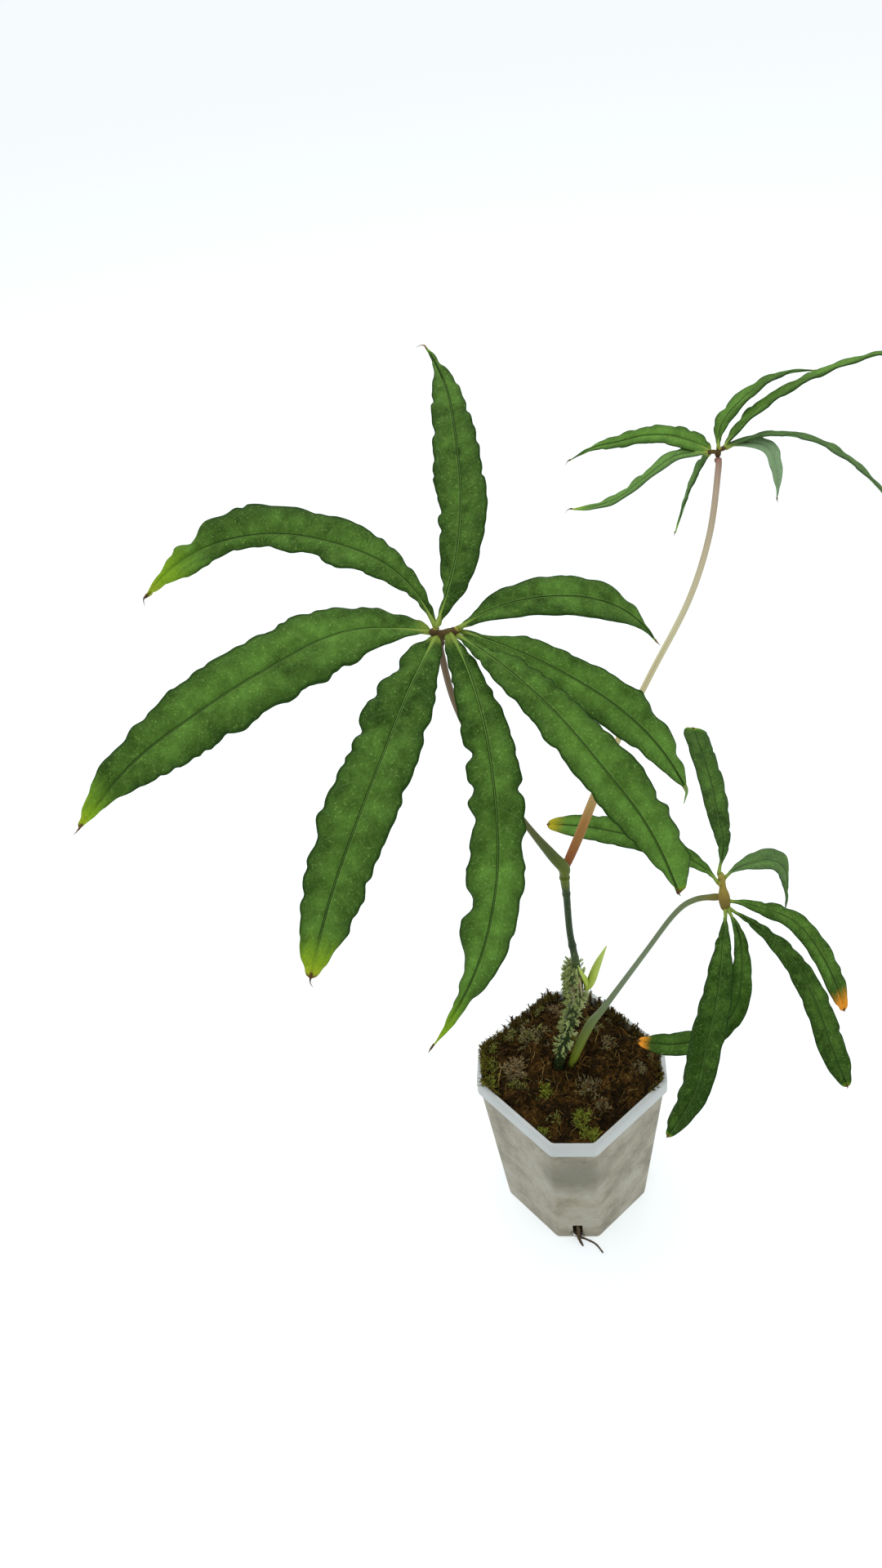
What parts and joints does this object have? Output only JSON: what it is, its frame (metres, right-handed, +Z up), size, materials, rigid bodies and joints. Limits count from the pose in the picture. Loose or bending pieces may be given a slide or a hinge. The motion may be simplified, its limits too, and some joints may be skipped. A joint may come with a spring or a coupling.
{
  "type": "potted anthurium plant",
  "caption": "Potted foliage plant with long wavy leaflets spread like fingers on slender stalks, rooted in mossy fibre in a square, chamfered, translucent plastic pot.",
  "frame": {"origin": "centre of the pot's flat underside", "axes": "+Z up, +X and +Y square to the pot's four flat sides; the pot corner nearest the picture's viewer is at -X -Y"},
  "size_m": [0.3602, 0.2141, 0.44],
  "materials": {
    "pot_plastic": "frosted translucent plastic",
    "moss_fibre": "damp shredded moss and fibre",
    "green_stem": "satin plant skin",
    "young_sheath": "satin plant skin",
    "brown_petiole": "satin plant skin",
    "pale_petiole": "satin plant skin",
    "grey_green_petiole": "satin plant skin",
    "leaf_blade": "satin leaf",
    "dry_root": "dry root"
  },
  "bodies": {
    "root": {"pot": "pot_plastic", "growing_medium": "moss_fibre", "stem": "green_stem", "shoot": "young_sheath", "petiole_near": "brown_petiole", "petiole_far": "pale_petiole", "petiole_low": "grey_green_petiole", "leaf_near": "leaf_blade", "leaf_far": "leaf_blade", "leaf_low": "leaf_blade", "drain_root": "dry_root"}
  },
  "joints": []
}
